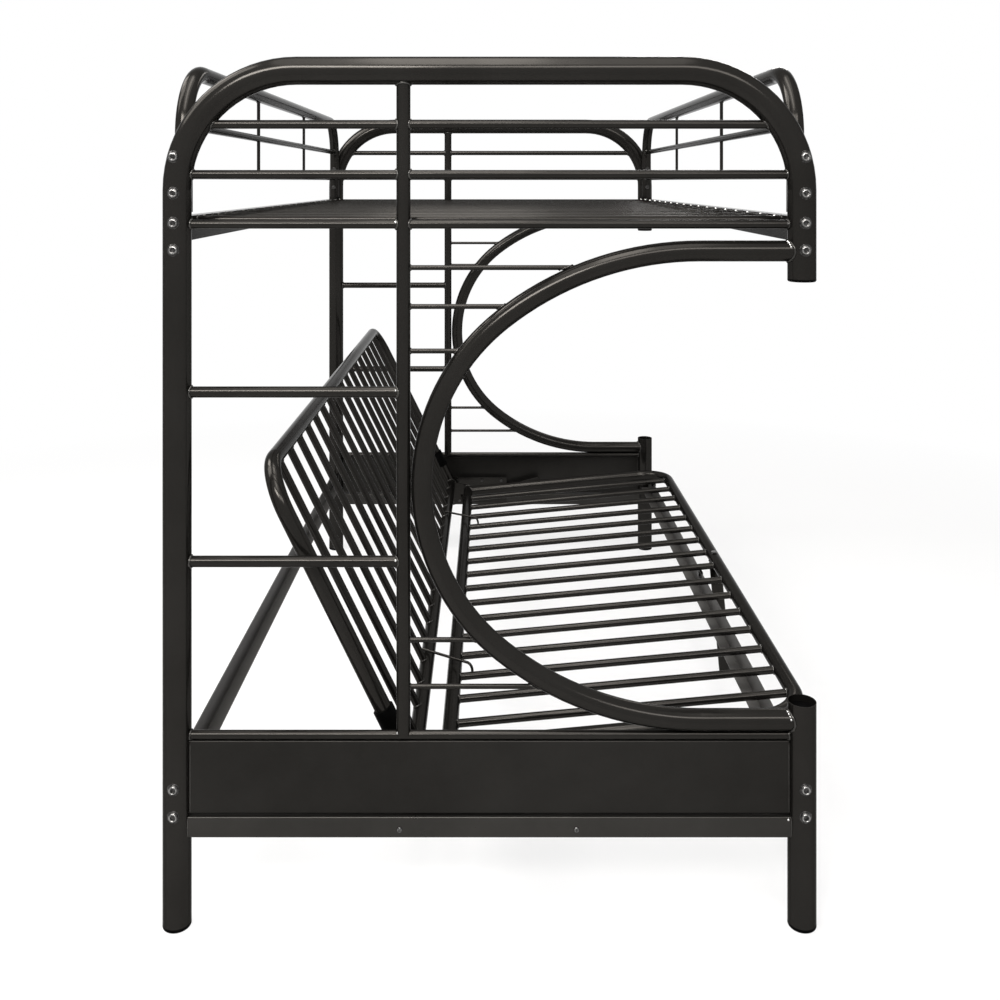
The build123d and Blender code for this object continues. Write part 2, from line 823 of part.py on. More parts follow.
def carriage_bracket():
    """Plate from the glide up to the hinge axis, tapered towards its eye."""
    face = Plane(origin=(0, bracket_inner_y, 0), z_dir=(0, -1, 0), x_dir=(1, 0, 0))
    corner = glide_height / 2
    outline_edges = Circle(bracket_eye_radius).edges()
    for x in (corner - glide_length / 2, glide_length / 2 - corner):
        outline_edges += (Pos(x, -track_drop, 0) * Circle(corner)).edges()
    outline = make_hull(outline_edges) - Circle(hinge_pin_radius)
    for x, z in rivet_places():
        outline -= Pos(x, z, 0) * Circle(rivet_radius)
    return extrude(face * outline, amount=bracket_thickness)


def hinge_pin():
    """Headed pin from the bracket through the back's end tube into the bush, and the bracket's rivets."""
    head_end = bracket_outer_y - hinge_pin_head_height
    pin_end = -back_half_length + futon_radius + hinge_pin_reach
    pin = rod((0, head_end, 0), (0, bracket_outer_y, 0), hinge_pin_head_radius)
    pieces = [pin + rod((0, bracket_outer_y, 0), (0, pin_end, 0), hinge_pin_radius)]
    for x, z in rivet_places():
        rivet = rod((x, bracket_outer_y - rivet_depth, z), (x, bracket_inner_y, z), rivet_radius)
        rivet += rod((x, bracket_inner_y, z), (x, bracket_inner_y + rivet_head_height, z), rivet_head_radius)
        pieces.append(rivet)
    return group(pieces)


# Clip and pads on the front lower rail


def rail_clip():
    """Folded strip that straddles the top edge of the front rail."""
    span = (-clip_length / 2, clip_length / 2)
    low = angle_top - clip_drop
    clip = block((clip_inner_x, clip_outer_x), span, (low, angle_top + clip_thickness))
    clip -= block((clip_inner_x + clip_thickness, angle_outer_x), span, (low, angle_top))
    return clip - clip_bolt_core()


def clip_bolt_core():
    return rod((clip_inner_x, 0, clip_bolt_z), (clip_outer_x, 0, clip_bolt_z), clip_bolt_radius)


def clip_bolt():
    """Bolt through the clip and the rail, with a round head inside and a hexagon nut outside."""
    head_end = clip_inner_x - clip_bolt_head_height
    head = rod((clip_inner_x, 0, clip_bolt_z), (head_end, 0, clip_bolt_z), 2 * clip_bolt_radius)
    face = Plane(origin=(clip_outer_x, 0, clip_bolt_z), z_dir=(1, 0, 0))
    nut = extrude(face * RegularPolygon(2 * clip_bolt_radius, 6), amount=clip_bolt_head_height)
    return head + clip_bolt_core() + nut


def seat_pad():
    """Plastic pad pushed over the top edge of the front rail, under the seat's end tube."""
    x = angle_outer_x - angle_thickness / 2
    half_length, half_width = pad_length / 2, pad_thickness / 2 + angle_thickness
    pad = block(
        (x - half_width, x + half_width), (-seat_half_length - half_length, -seat_half_length + half_length),
        (angle_top - pad_lap, angle_top + pad_rise))
    return pad - angle_rail(1)


def at_near_end(part):
    return Pos(0, -end_y, 0) * part


nodes = {}
end_parts = {
    "arch_tube": arch_tube(), "crossbars": crossbars(), "ladder_post": ladder_post(),
    "ladder_rungs": ladder_rungs(), "accent_bars": accent_bars(), "c_tube": c_tube(),
    "lower_front_post": lower_front_post(), "panel_sheet": panel_sheet(),
    "panel_top_bar": panel_top_bar(), "panel_bottom_rail": panel_bottom_rail()}
for name, part in end_parts.items():
    nodes["near_" + name] = at_near_end(part)
    nodes["far_" + name] = mirrored(at_near_end(part))
nodes["near_futon_track"] = track()
nodes["far_futon_track"] = mirrored(nodes["near_futon_track"])
nodes["track_studs"] = both_ends(track_studs())

feet = [at_near_end(foot(-post_x)), at_near_end(foot(post_x))]
plugs = [at_near_end(upper_post_plug()), at_near_end(lower_post_plug())]
nodes["post_feet"] = both_ends(feet)
nodes["post_plugs"] = both_ends(plugs)
nodes["panel_screws"] = both_ends([at_near_end(part) for part in panel_screws()])

for name, side in (("rear", -1), ("front", 1)):
    nodes[name + "_guard_tube"] = guard_tube(side)
    nodes[name + "_guard_bars"] = guard_bars(side)
    nodes[name + "_deck_rail"] = deck_rail(side)
    nodes[name + "_lower_rail"] = angle_rail(side)
nodes["guard_balusters"] = group([balusters(side) for side in (-1, 1)])
nodes["deck_slats"] = deck_slats()
plate_sizes = [(deck_plate, deck_bolt_heights), (lower_plate, lower_bolt_heights)]
nodes["rail_end_plates"] = both_ends([
    end_plate(side, *span, heights) for span, heights in plate_sizes for side in (-1, 1)])

bolt_places = [(heights, guard_inner_y) for heights in [guard_bolt_heights]]
bolt_places += [(heights, plate_inner_y) for heights in (deck_bolt_heights, lower_bolt_heights)]
bolt_places = [
    (side * post_x, height, inner_y) for heights, inner_y in bolt_places for height in heights
    for side in (-1, 1)]
nodes["post_bolts"] = both_ends([post_bolt(*place) for place in bolt_places])
nodes["post_nuts"] = both_ends([post_nut(*place) for place in bolt_places])

nodes["front_rail_clip"] = rail_clip()
nodes["front_lower_rail"] -= clip_bolt_core()
nodes["rail_clip_bolts"] = clip_bolt()
nodes["seat_rest_pads"] = both_ends([seat_pad()])

nodes["glide_blocks"] = both_ends([track_place * glide_block()])
nodes["hinge_pins"] = both_ends([track_place * hinge_pin()])
nodes["carriage_brackets"] = both_ends([track_place * carriage_bracket()])

nodes["seat_front_tube"] = seat_place * seat_front_tube()
nodes["seat_rear_tube"] = seat_place * seat_rear_tube()
nodes["seat_bars"] = seat_place * seat_bars()
nodes["seat_hinge_plates"] = both_ends([seat_place * seat_hinge_plate()])
nodes["seat_leg"] = seat_place * seat_leg()
nodes["seat_leg_tip"] = seat_place * seat_leg_tip()
nodes["seat_leg_bolt"] = seat_place * seat_leg_bolt()
wire_bars = [round(place_share * (seat_bar_count - 1)) for place_share in wire_place_shares]
nodes["mattress_wires"] = group([seat_place * mattress_wire(seat_bar_places()[bar]) for bar in wire_bars])

nodes["back_top_tube"] = back_place * back_top_tube()
nodes["back_bottom_tube"] = back_place * back_bottom_tube()
nodes["back_bars"] = back_place * back_bars()
nodes["back_sleeves"] = both_ends([back_place * back_sleeve()])
nodes["back_end_plugs"] = both_ends([back_place * back_end_plug()])
nodes["back_hinge_bushes"] = both_ends([back_place * back_bush()])

# The origin moves to the floor at the middle of the outline
boxes = [part.bounding_box() for part in nodes.values()]
origin_x = (min(box.min.X for box in boxes) + max(box.max.X for box in boxes)) / 2
os.makedirs("parts", exist_ok=True)
for name, part in nodes.items():
    moved = [Pos(-origin_x, 0, 0) * solid for solid in part.solids()]
    export_step(moved[0] if len(moved) == 1 else Compound(moved), f"parts/{name}.step")

print(f"origin moved along X by {-origin_x:.3f}")
print(f"hinge axis {hinge_x - origin_x:.3f}, {hinge_height:.3f}")
print(f"track travel {track_travel:.3f} at {track_slope:.4f} degrees")
print(f"leg length {leg_length():.3f}, seat front {seat_front.X - origin_x:.3f}, {seat_front.Z:.3f}")
print(f"{len(nodes)} nodes")
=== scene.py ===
# Looks, light and camera of the futon bunk bed, around the solids of its frame
import json
import math

import bpy
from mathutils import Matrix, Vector


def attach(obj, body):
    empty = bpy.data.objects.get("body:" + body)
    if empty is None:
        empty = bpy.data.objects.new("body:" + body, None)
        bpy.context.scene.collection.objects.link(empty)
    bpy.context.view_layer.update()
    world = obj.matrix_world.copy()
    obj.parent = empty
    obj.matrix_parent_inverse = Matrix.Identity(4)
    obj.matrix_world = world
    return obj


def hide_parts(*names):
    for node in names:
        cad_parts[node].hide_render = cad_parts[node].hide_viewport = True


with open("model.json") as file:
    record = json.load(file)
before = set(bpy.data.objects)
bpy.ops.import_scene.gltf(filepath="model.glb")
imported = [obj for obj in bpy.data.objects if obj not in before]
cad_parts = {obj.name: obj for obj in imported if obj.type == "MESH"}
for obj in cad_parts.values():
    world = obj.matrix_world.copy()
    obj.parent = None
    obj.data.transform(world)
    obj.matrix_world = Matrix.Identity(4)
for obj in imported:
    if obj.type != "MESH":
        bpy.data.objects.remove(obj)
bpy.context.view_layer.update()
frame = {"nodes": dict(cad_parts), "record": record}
nodes = frame["nodes"]
scene = bpy.context.scene

# Sizes of the frame in millimetres, about the middle of the posts. The part's origin lies ahead of it.
ORIGIN_X = 34.117
SIDES = ENDS = (-1, 1)
END_Y = 982.5
POST_X, POST_R = 562.5, 25.4
ARCH_TOP, ARCH_BEND = 1537.6, 215
CROSSBARS, CROSSBAR_R = (1261, 1351, 1441), 8
LADDER_X, LADDER_R = -155, 12.7
RUNGS, RUNG_R = (654, 959), 10
ACCENTS, ACCENT_R = (429, 513, 1033, 1113, 1183), 4.5
C_TOP, C_BOTTOM, C_START, C_REACH, C_SIDE, C_R = 1213, 369, 379, 501, 380, 19
PANEL_BAR_Z, PANEL_BAR_R = 342, 8
PANEL_RAIL_LOW, PANEL_RAIL_HIGH = 163.5, 200.5
PANEL_RAIL_HALF, PANEL_RAIL_CORNER = 12.5, 2.5
SHEET_Y, SHEET_LOW, SHEET_HIGH = END_Y + 6.4, 202, 333.9
SHEET_THICK, SHEET_BEND, SHEET_LOW_TURN, SHEET_HIGH_TURN = 0.8, 3, 5, 11
DECK_TOP, DECK_RAIL_HALF = 1275, 12.5
SLAT_COUNT, SLAT_PITCH, SLAT_R, SLAT_DROP = 18, 105, 8, 9
GUARD_TOP, GUARD_BEND, GUARD_R = 1546, 125, 16
GUARD_BARS, GUARD_BAR_R = (1350.1, 1442), 8
GUARD_Y = END_Y - POST_R - GUARD_R
BALUSTER_Y, BALUSTER_R = 312, 4
PLATE_Y = END_Y - POST_R - 4

ALONG_X, ALONG_Y, UP = Vector((1, 0, 0)), Vector((0, 1, 0)), Vector((0, 0, 1))


def mm(x, y, z):
    """A point in millimetres about the middle of the posts, in the part's frame in metres."""
    return Vector(((x - ORIGIN_X) / 1000, y / 1000, z / 1000))


# Camera: just left of the middle of the near end, level with the guards
cam_data = bpy.data.cameras.new("Camera")
cam_data.sensor_width = 36
cam_data.lens = 38.34
cam_data.shift_x = 0.0085
cam_data.shift_y = -0.319
cam_data.clip_start = 0.05
cam_data.clip_end = 200
camera = bpy.data.objects.new("Camera", cam_data)
scene.collection.objects.link(camera)
camera.location = (-0.0305, -2.9005, 1.339)
camera.rotation_euler = (math.radians(90), 0, 0)
scene.camera = camera


# Materials. Tones and gloss are pairs of the lowest and the highest value.
TONE_SCALE, GLOSS_SCALE, PEEL_SCALE, PEEL_DEPTH = 3.5, 22, 700, 0.0003
RIM_TINT = (0.42, 0.42, 0.42, 1)
METAL_GLOSS_SCALE, METAL_BUMP = 420, (0.12, 0.0002)
PLASTIC_TONE_SCALE, PLASTIC_GLOSS_SCALE, PLASTIC_IOR, PLASTIC_BUMP = 40, 60, 1.06, (0.3, 0.0002)


def new_material(name):
    mat = bpy.data.materials.new(name)
    mat.use_nodes = True
    nt = mat.node_tree
    nt.nodes.clear()
    out = nt.nodes.new("ShaderNodeOutputMaterial")
    bsdf = nt.nodes.new("ShaderNodeBsdfPrincipled")
    nt.links.new(bsdf.outputs["BSDF"], out.inputs["Surface"])
    return mat, nt, bsdf


def coordinates(nt):
    return nt.nodes.new("ShaderNodeTexCoord").outputs["Object"]


def noise(nt, coord, scale, detail=3.0, rough=0.5):
    node = nt.nodes.new("ShaderNodeTexNoise")
    node.inputs["Scale"].default_value = scale
    node.inputs["Detail"].default_value = detail
    node.inputs["Roughness"].default_value = rough
    nt.links.new(coord, node.inputs["Vector"])
    return node.outputs["Fac"]


def ramp(nt, value, tones, spread):
    """A blend of two tones about the middle of a value, that far to each side of it."""
    node = nt.nodes.new("ShaderNodeValToRGB")
    first, last = node.color_ramp.elements
    first.position, first.color = 0.5 - spread, (*tones[0], 1)
    last.position, last.color = 0.5 + spread, (*tones[1], 1)
    nt.links.new(value, node.inputs["Fac"])
    return node.outputs["Color"]


def map_range(nt, value, low, high, from_low=0.0, from_high=1.0):
    node = nt.nodes.new("ShaderNodeMapRange")
    node.inputs["From Min"].default_value = from_low
    node.inputs["From Max"].default_value = from_high
    node.inputs["To Min"].default_value = low
    node.inputs["To Max"].default_value = high
    nt.links.new(value, node.inputs["Value"])
    return node.outputs["Result"]


def bump(nt, bsdf, height, strength, distance):
    node = nt.nodes.new("ShaderNodeBump")
    node.inputs["Strength"].default_value = strength
    node.inputs["Distance"].default_value = distance
    nt.links.new(height, node.inputs["Height"])
    nt.links.new(node.outputs["Normal"], bsdf.inputs["Normal"])


def powder_coat(name, tones, gloss, ior, grain, metallic=0.75):
    """Black powder coat: a fine orange peel, and slow changes of tone and gloss."""
    mat, nt, bsdf = new_material(name)
    coord = coordinates(nt)
    tone = ramp(nt, noise(nt, coord, TONE_SCALE, 5, 0.6), tones, 0.2)
    nt.links.new(tone, bsdf.inputs["Base Color"])
    roughness = map_range(nt, noise(nt, coord, GLOSS_SCALE, 5), *gloss)
    nt.links.new(roughness, bsdf.inputs["Roughness"])
    bsdf.inputs["IOR"].default_value = ior
    bsdf.inputs["Metallic"].default_value = metallic
    bsdf.inputs["Specular Tint"].default_value = RIM_TINT
    bump(nt, bsdf, noise(nt, coord, PEEL_SCALE, 2), grain, PEEL_DEPTH)
    return mat


def metal(name, tones, gloss, worn_scale):
    """Bare or blackened steel with random brighter patches; the weld drop and bolt ring steels made
    with it are painted highlights.
    """
    mat, nt, bsdf = new_material(name)
    coord = coordinates(nt)
    wear_and_glints = noise(nt, coord, worn_scale, 4, 0.6)
    nt.links.new(ramp(nt, wear_and_glints, tones, 0.12), bsdf.inputs["Base Color"])
    bsdf.inputs["Metallic"].default_value = 1.0
    roughness = map_range(nt, noise(nt, coord, METAL_GLOSS_SCALE, 3), *gloss)
    nt.links.new(roughness, bsdf.inputs["Roughness"])
    bump(nt, bsdf, wear_and_glints, *METAL_BUMP)
    return mat


def plastic(name, tones, gloss, grain_scale):
    """Moulded plastic or rubber with a fine grain."""
    mat, nt, bsdf = new_material(name)
    coord = coordinates(nt)
    tone = ramp(nt, noise(nt, coord, PLASTIC_TONE_SCALE, 4), tones, 0.2)
    nt.links.new(tone, bsdf.inputs["Base Color"])
    roughness = map_range(nt, noise(nt, coord, PLASTIC_GLOSS_SCALE, 3), *gloss)
    nt.links.new(roughness, bsdf.inputs["Roughness"])
    bsdf.inputs["IOR"].default_value = PLASTIC_IOR
    bump(nt, bsdf, noise(nt, coord, grain_scale, 2), *PLASTIC_BUMP)
    return mat


coat = powder_coat(
    "black_powder_coat", ((0.0172, 0.0162, 0.0148), (0.0232, 0.022, 0.0203)),
    gloss=(0.13, 0.19), ior=1.14, grain=0.07)
panel_coat = powder_coat(
    "panel_coat", ((0.0155, 0.0148, 0.0136), (0.0225, 0.0215, 0.02)),
    gloss=(0.3, 0.4), ior=1.14, grain=0.35)
# A lighter copy of the coat for the panels' bottom rails: painted light, the bounce from the floor
painted_bounce_rail_coat = powder_coat(
    "painted_bounce_rail_coat", ((0.026, 0.025, 0.0232), (0.037, 0.0355, 0.033)),
    gloss=(0.24, 0.34), ior=1.14, grain=0.22)
# A much lighter, rougher copy of the coat for the lower angle rails: painted reflection of the floor
painted_floor_angle_coat = powder_coat(
    "painted_floor_angle_coat", ((0.042, 0.0405, 0.0385), (0.057, 0.0555, 0.053)),
    gloss=(0.44, 0.54), ior=1.25, grain=0.2, metallic=0.15)
# Welds: glossier than the coat, and lighter in tone as a painted highlight on the beads
weld_coat = powder_coat(
    "weld_coat", ((0.03, 0.029, 0.027), (0.075, 0.073, 0.069)),
    gloss=(0.1, 0.18), ior=1.2, grain=0.25)
steel = metal("dark_hardware", ((0.022, 0.0215, 0.021), (0.07, 0.068, 0.066)), (0.2, 0.34), 260)
# Lighter steel for the raised rings of the bolt heads: a painted highlight
ring_highlight_steel = metal("bolt_ring_painted_highlight", ((0.1, 0.098, 0.095), (0.3, 0.296, 0.288)), (0.1, 0.2), 420)
screw_steel = metal("screw_steel", ((0.03, 0.03, 0.029), (0.16, 0.158, 0.155)), (0.12, 0.2), 700)
# Bright steel for small weld drops: a painted glint where the joints catch the light
painted_glint_weld = metal("painted_glint_weld", ((0.22, 0.218, 0.212), (0.7, 0.69, 0.67)), (0.1, 0.2), 300)
black_plastic = plastic(
    "black_plastic", ((0.001, 0.001, 0.001), (0.0022, 0.0022, 0.0022)), (0.42, 0.55), 1500)
rubber = plastic("black_rubber", ((0.003, 0.003, 0.003), (0.006, 0.006, 0.006)), (0.7, 0.85), 900)

slot_material = {
    "black_powder_coat": coat, "dark_hardware": steel,
    "black_plastic": black_plastic, "black_rubber": rubber}
# the lower rails take the lighter coat of painted floor reflection
node_material = {"front_lower_rail": painted_floor_angle_coat, "rear_lower_rail": painted_floor_angle_coat}
slot_of = {entry["node"]: entry["material_slot"] for entry in frame["record"]["subparts"]}
for name, obj in nodes.items():
    obj.data.materials.clear()
    obj.data.materials.append(node_material.get(name, slot_material[slot_of[name]]))


# Meshes
class Mesh:
    """Vertices and faces that are gathered before one object is made of them."""

    def __init__(self):
        self.verts = []
        self.faces = []

    def grid(self, rings, close_strip=False):
        """Closed rings of points joined by quads."""
        start, count = len(self.verts), len(rings[0])
        for ring in rings:
            self.verts += [tuple(point) for point in ring]
        for i in range(len(rings) if close_strip else len(rings) - 1):
            a, b = start + i * count, start + ((i + 1) % len(rings)) * count
            for j in range(count):
                k = (j + 1) % count
                self.faces.append((a + j, a + k, b + k, b + j))

    def cap(self, ring):
        """One face over a ring of points."""
        start = len(self.verts)
        self.verts += [tuple(point) for point in ring]
        self.faces.append(tuple(range(start, start + len(ring))))

    def object(self, name, body, slot, material, smooth_angle=40):
        mesh = bpy.data.meshes.new(name)
        mesh.from_pydata(self.verts, [], self.faces)
        mesh.materials.append(material)
        obj = bpy.data.objects.new(name, mesh)
        scene.collection.objects.link(obj)
        bpy.context.view_layer.objects.active = obj
        obj.select_set(True)
        bpy.ops.object.mode_set(mode="EDIT")
        bpy.ops.mesh.select_all(action="SELECT")
        bpy.ops.mesh.normals_make_consistent(inside=False)
        bpy.ops.object.mode_set(mode="OBJECT")
        bpy.ops.object.shade_smooth_by_angle(angle=math.radians(smooth_angle))
        obj.select_set(False)
        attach(obj, body)
        return obj


def axes_across(direction):
    """Two unit vectors square to a direction."""
    d = direction.normalized()
    side = UP if abs(d.z) < 0.9 else ALONG_X
    u = d.cross(side).normalized()
    return u, d.cross(u).normalized()


def circle_points(center, direction, radius, count):
    """Points round a direction, with the radius in millimetres."""
    u, v = axes_across(direction)
    turns = [2 * math.pi * i / count for i in range(count)]
    return [center + (u * math.cos(t) + v * math.sin(t)) * (radius / 1000) for t in turns]


def lathe(mesh, base, direction, profile, segments=24, hex_below=None, closed=True):
    """Turned form: profile points are (radius, height) in millimetres from base along direction.
    Points with a radius up to hex_below follow a hexagon."""
    d = direction.normalized()
    u, v = axes_across(d)
    rings = []
    for radius, height in profile:
        ring = []
        for i in range(segments):
            t = 2 * math.pi * i / segments
            r = radius
            if hex_below and radius <= hex_below:
                r = radius / math.cos((t % (math.pi / 3)) - math.pi / 6)
            ring.append(base + (u * math.cos(t) + v * math.sin(t)) * (r / 1000) + d * (height / 1000))
        rings.append(ring)
    mesh.grid(rings)
    if closed:
        mesh.cap(rings[-1])


# Middle lines of the bent tubes
def arch_center(side, z):
    """X of the arch tube's middle line at a height, and the direction of its axis there."""
    start = ARCH_TOP - ARCH_BEND
    if z <= start:
        return side * POST_X, UP
    rise = z - start
    run = math.sqrt(ARCH_BEND ** 2 - rise ** 2)
    return side * (POST_X - ARCH_BEND + run), Vector((-side * rise, 0, run))


def c_center(z):
    """The same of the C tube, whose middle line has three arcs."""
    rise = (C_TOP - C_BOTTOM) / 2
    middle = (C_TOP + C_BOTTOM) / 2
    side_x = C_START - C_REACH + C_SIDE
    wide = (rise ** 2 - C_SIDE ** 2 + (C_REACH - C_SIDE) ** 2) / (2 * (rise - C_SIDE))
    turn = math.atan2(C_START - side_x, wide - rise)
    join_rise = wide * math.cos(turn) - (wide - rise)
    off = abs(z - middle)
    slope = -1 if z > middle else 1
    if off > join_rise:
        lift = off + wide - rise
        x = C_START - math.sqrt(wide ** 2 - lift ** 2)
        return x, Vector((lift, 0, (x - C_START) * slope))
    x = side_x - math.sqrt(C_SIDE ** 2 - off ** 2)
    return x, Vector((off, 0, (x - side_x) * slope))


def bend_inset(offset, half, bend):
    """How far a rounded corner has drawn the tube in at a place near its end."""
    over = abs(offset) - (half - bend)
    return bend - math.sqrt(bend ** 2 - over ** 2) if over > 0 else 0.0


# Weld beads. Each kind has the bead's radius in millimetres and the number of points that it follows.
WELDS = {
    "bar": (2.3, 18), "accent": (1.3, 12), "ladder_top": (2.3, 22), "ladder_foot": (1.3, 14),
    "c_tube": (2.6, 26), "rail_corner": (1.3, 7), "sheet_edge": (1.3, 17), "slat": (1.6, 14),
    "guard_bar": (1.7, 16), "baluster": (1.2, 10), "plate": (1.5, 8), "seat_bar": (1.7, 16),
    "seat_end": (1.9, 22), "seat_corner": (1.7, 22), "leg": (1.6, 22), "back_bar": (1.5, 16),
    "back_end": (1.7, 22)}
BEAD_SIDES, RIPPLE, BEAD_TIP = 6, 0.18, 0.45
BEAD_LIFT, BEAD_SINK = 0.3, 0.4
# a tube counts as straight for this far to each side of a joint, in metres, and a bead is sought on it
# up to this many radii of the tube away from the joint, by halving the distance this many times
STRETCH, SADDLE_REACH, HALVINGS = 0.06, 4.5, 22
WELD_SMOOTH = 60
SHEET_SEAM_Y, SHEET_SEAM = 6, (204, 330)
PLATE_SEAM_X, PLATE_SEAMS = 13, ((1232, 1273), (230, 276))


def align(rings):
    """Turns each ring so that its first point follows the first point of the ring before it."""
    for i in range(1, len(rings)):
        first, ring = rings[i - 1][0], rings[i]
        k = min(range(len(ring)), key=lambda j: (ring[j] - first).length)
        rings[i] = ring[k:] + ring[:k]


def bead(mesh, points, radius, closed=True):
    """A rippled bead along a row of points in metres, with the radius in millimetres."""
    count = len(points)
    rings = []
    for i, point in enumerate(points):
        before = points[(i - 1) % count] if closed or i > 0 else point
        after = points[(i + 1) % count] if closed or i < count - 1 else point
        swell = radius * (1 + RIPPLE * (1 if i % 2 else -1))
        if not closed and i in (0, count - 1):
            swell *= BEAD_TIP
        rings.append(circle_points(point, after - before, swell, BEAD_SIDES))
    if closed:
        align(rings)
    mesh.grid(rings, close_strip=closed)
    if not closed:
        mesh.cap(rings[0])
        mesh.cap(rings[-1])


def leaving_point(start, direction, axis, tube_radius):
    """Where a line leaves the straight stretch of tube about the origin along axis, all in metres."""
    low, high = 0.0, SADDLE_REACH * tube_radius
    for _ in range(HALVINGS):
        middle = (low + high) / 2
        point = start + direction * middle
        along = max(-STRETCH, min(STRETCH, point.dot(axis)))
        if (point - axis * along).length < tube_radius + BEAD_LIFT / 1000:
            low = middle
        else:
            high = middle
    return start + direction * high


def weld_bar(mesh, kind, center, direction, bar_radius, axis, tube_radius):
    """Bead where a bar that starts at center along direction leaves the tube that passes there."""
    bead_radius, count = WELDS[kind]
    d, a = direction.normalized(), axis.normalized()
    starts = circle_points(Vector(), d, bar_radius + BEAD_LIFT, count)
    points = [center + leaving_point(start, d, a, tube_radius / 1000) for start in starts]
    bead(mesh, points, bead_radius)


def weld_ring(mesh, kind, center, direction, radius):
    """Bead round a bar where it meets a flat face, or round a tube's end."""
    bead_radius, count = WELDS[kind]
    bead(mesh, circle_points(center, direction, radius, count), bead_radius)


def weld_seam(mesh, kind, start, stop):
    """Straight bead between two points."""
    bead_radius, count = WELDS[kind]
    bead(mesh, [start.lerp(stop, i / (count - 1)) for i in range(count)], bead_radius, closed=False)


def spot(mesh, center, direction, radius):
    """A small drop of weld."""
    shape = [(1, -0.4), (0.95, 0.15), (0.7, 0.5), (0.35, 0.66), (0.05, 0.7)]
    lathe(mesh, center, direction, [(radius * r, radius * h) for r, h in shape], 10)


def weld_end_frame(mesh, end):
    """Crossbars, rungs, ladder, C tube and panel of one end."""
    y = end * END_Y
    for z in CROSSBARS:
        for side in SIDES:
            x, axis = arch_center(side, z)
            weld_bar(mesh, "bar", mm(x, y, z), -side * ALONG_X, CROSSBAR_R, axis, POST_R)
            weld_bar(mesh, "bar", mm(LADDER_X, y, z), side * ALONG_X, CROSSBAR_R, UP, LADDER_R)
    for z in RUNGS:
        weld_bar(mesh, "bar", mm(-POST_X, y, z), ALONG_X, RUNG_R, UP, POST_R)
        weld_bar(mesh, "bar", mm(LADDER_X, y, z), -ALONG_X, RUNG_R, UP, LADDER_R)
    for z in ACCENTS:
        weld_bar(mesh, "accent", mm(LADDER_X, y, z), ALONG_X, ACCENT_R, UP, LADDER_R)
        x, axis = c_center(z)
        weld_bar(mesh, "accent", mm(x, y, z), -ALONG_X, ACCENT_R, axis, C_R)
    weld_bar(mesh, "ladder_top", mm(LADDER_X, y, ARCH_TOP), -UP, LADDER_R, ALONG_X, POST_R)
    # the ladder post is wider than the panel's bar, so this bead keeps to the bar's upper side
    foot_r = 0.6 * LADDER_R
    weld_bar(mesh, "ladder_foot", mm(LADDER_X, y, PANEL_BAR_Z), UP, foot_r, ALONG_X, PANEL_BAR_R)
    for z in (C_TOP, C_BOTTOM):
        weld_bar(mesh, "c_tube", mm(POST_X, y, z), -ALONG_X, C_R, UP, POST_R)
    rail_seam = PANEL_RAIL_LOW + PANEL_RAIL_CORNER, PANEL_RAIL_HIGH - PANEL_RAIL_CORNER
    seams = (
        ("rail_corner", -PANEL_RAIL_HALF, rail_seam), ("rail_corner", PANEL_RAIL_HALF, rail_seam),
        ("sheet_edge", end * SHEET_SEAM_Y, SHEET_SEAM))
    for side in SIDES:
        weld_bar(
            mesh, "bar", mm(side * POST_X, y, PANEL_BAR_Z), -side * ALONG_X, PANEL_BAR_R, UP, POST_R)
        for kind, across, (low, high) in seams:
            x = side * (POST_X - math.sqrt(POST_R ** 2 - across ** 2))
            weld_seam(mesh, kind, mm(x, y + across, low), mm(x, y + across, high))


def weld_deck(mesh, wear_and_glints):
    """Slats on the deck rails, each with a drop of weld; at the front the drop is bright steel, a
    painted glint.
    """
    drop_inset, drop_depth, drop_radius = 26, 1, 3.2
    for index in range(SLAT_COUNT):
        y = (index - (SLAT_COUNT - 1) / 2) * SLAT_PITCH
        for side in SIDES:
            face = side * (POST_X - DECK_RAIL_HALF - BEAD_SINK)
            weld_ring(mesh, "slat", mm(face, y, DECK_TOP - SLAT_DROP), ALONG_X, SLAT_R + BEAD_LIFT)
            # drops on the front rail go in bright steel as painted glints, those at the rear in weld
            # coat
            spot(
                wear_and_glints if side == 1 else mesh, mm(side * (POST_X - drop_inset), y, DECK_TOP - drop_depth),
                Vector((-side, 0, 1)), drop_radius)


def weld_guard(mesh, side):
    """Bars and balusters of one guard, and the plates at the ends of the rails below it."""
    x = side * POST_X
    for end in ENDS:
        for z in GUARD_BARS:
            inset = bend_inset(z, GUARD_TOP, GUARD_BEND)
            over = max(0, z - GUARD_TOP + GUARD_BEND)
            axis = Vector((0, -end * over, GUARD_BEND - inset))
            place = mm(x, end * (GUARD_Y - inset), z)
            weld_bar(mesh, "guard_bar", place, -end * ALONG_Y, GUARD_BAR_R, axis, GUARD_R)
        seam_x = x - side * PLATE_SEAM_X
        for low, high in PLATE_SEAMS:
            weld_seam(mesh, "plate", mm(seam_x, end * PLATE_Y, low), mm(seam_x, end * PLATE_Y, high))
        for z in (GUARD_BARS[0] + GUARD_BAR_R - BEAD_SINK, GUARD_TOP - GUARD_R):
            weld_ring(mesh, "baluster", mm(x, end * BALUSTER_Y, z), UP, BALUSTER_R + BEAD_LIFT)


